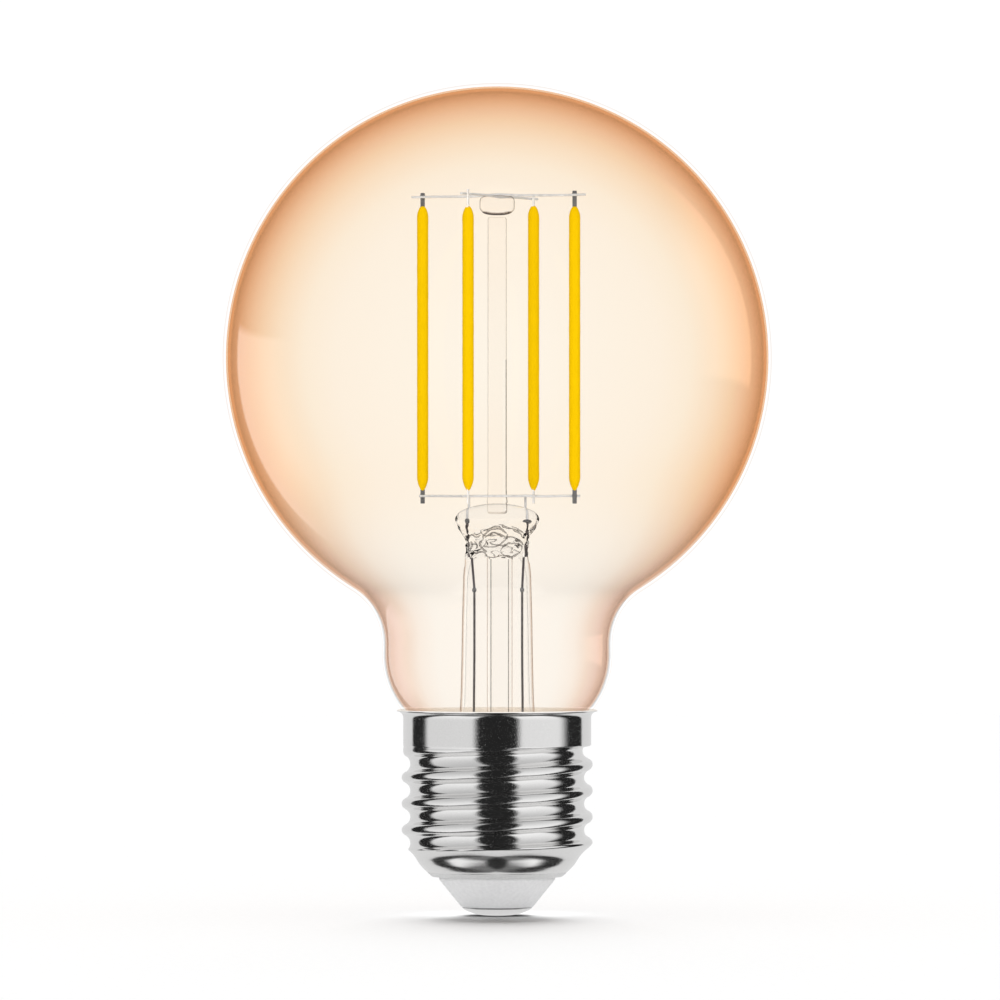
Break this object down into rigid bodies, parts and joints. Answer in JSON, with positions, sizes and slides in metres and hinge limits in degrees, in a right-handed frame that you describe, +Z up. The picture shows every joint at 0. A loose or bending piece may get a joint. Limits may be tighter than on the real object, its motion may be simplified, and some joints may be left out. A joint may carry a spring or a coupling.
{
  "type": "smart light bulb",
  "caption": "Globe-shaped amber glass LED filament lamp with a screw cap, straight upright filaments on a glass stem, and a driver with wireless control inside the cap.",
  "frame": {"origin": "centre of the end contact's flat face, at the very bottom of the screw cap, on the lamp's axis", "axes": "+Z up along the lamp's axis from the cap to the top of the globe; +X to the right and +Y away when the lamp is seen from the front"},
  "size_m": [0.0758, 0.0758, 0.1148],
  "materials": {
    "amber_glass": "amber-tinted transparent glass, polished",
    "clear_glass": "clear glass, polished",
    "nickel_sheet": "nickel-plated sheet, semi-bright",
    "nickel_wire": "nickel-plated wire, satin",
    "dumet_wire": "copper-clad sealing wire, borated red-brown",
    "copper_wire": "tinned copper wire, dull",
    "phosphor": "yellow phosphor silicone, satin",
    "ceramic": "white ceramic strip, matte",
    "grey_plastic": "pale grey moulded insulator, satin",
    "cement": "basing cement, rough",
    "board_laminate": "green circuit board laminate",
    "black_epoxy": "moulded black epoxy",
    "ferrite": "dark grey ferrite, matte",
    "capacitor_sleeve": "dark blue shrink sleeve, glossy",
    "resistor_body": "green-grey resistor lacquer",
    "wire_sleeve": "off-white wire insulation"
  },
  "bodies": {
    "root": {"glass_envelope": "amber_glass", "stem_flare": "clear_glass", "exhaust_tube": "clear_glass", "stem_rod": "clear_glass", "rod_button": "clear_glass", "screw_shell": "nickel_sheet", "end_contact": "nickel_sheet", "wireless_shield": "nickel_sheet", "top_wire_outer": "nickel_wire", "top_wire_inner": "nickel_wire", "bottom_bar_rear": "nickel_wire", "bottom_bar_front": "nickel_wire", "filament_1_coat": "phosphor", "filament_1_strip": "ceramic", "filament_1_top_tab": "nickel_wire", "filament_1_bottom_tab": "nickel_wire", "filament_2_coat": "phosphor", "filament_2_strip": "ceramic", "filament_2_top_tab": "nickel_wire", "filament_2_bottom_tab": "nickel_wire", "filament_3_coat": "phosphor", "filament_3_strip": "ceramic", "filament_3_top_tab": "nickel_wire", "filament_3_bottom_tab": "nickel_wire", "filament_4_coat": "phosphor", "filament_4_strip": "ceramic", "filament_4_top_tab": "nickel_wire", "filament_4_bottom_tab": "nickel_wire", "inner_lead_left": "nickel_wire", "upper_knot_left": "nickel_wire", "lower_knot_left": "nickel_wire", "dumet_lead_left": "dumet_wire", "outer_lead_left": "copper_wire", "inner_lead_right": "nickel_wire", "upper_knot_right": "nickel_wire", "lower_knot_right": "nickel_wire", "dumet_lead_right": "dumet_wire", "outer_lead_right": "copper_wire", "cap_insulator": "grey_plastic", "cement_ring": "cement", "driver_board": "board_laminate", "wireless_board": "board_laminate", "bridge_rectifier": "black_epoxy", "driver_chip": "black_epoxy", "power_inductor": "ferrite", "smoothing_capacitor": "capacitor_sleeve", "fuse_resistor": "resistor_body", "fuse_lead": "copper_wire", "live_wire": "wire_sleeve", "neutral_wire": "wire_sleeve", "wireless_aerial": "wire_sleeve"}
  },
  "joints": []
}
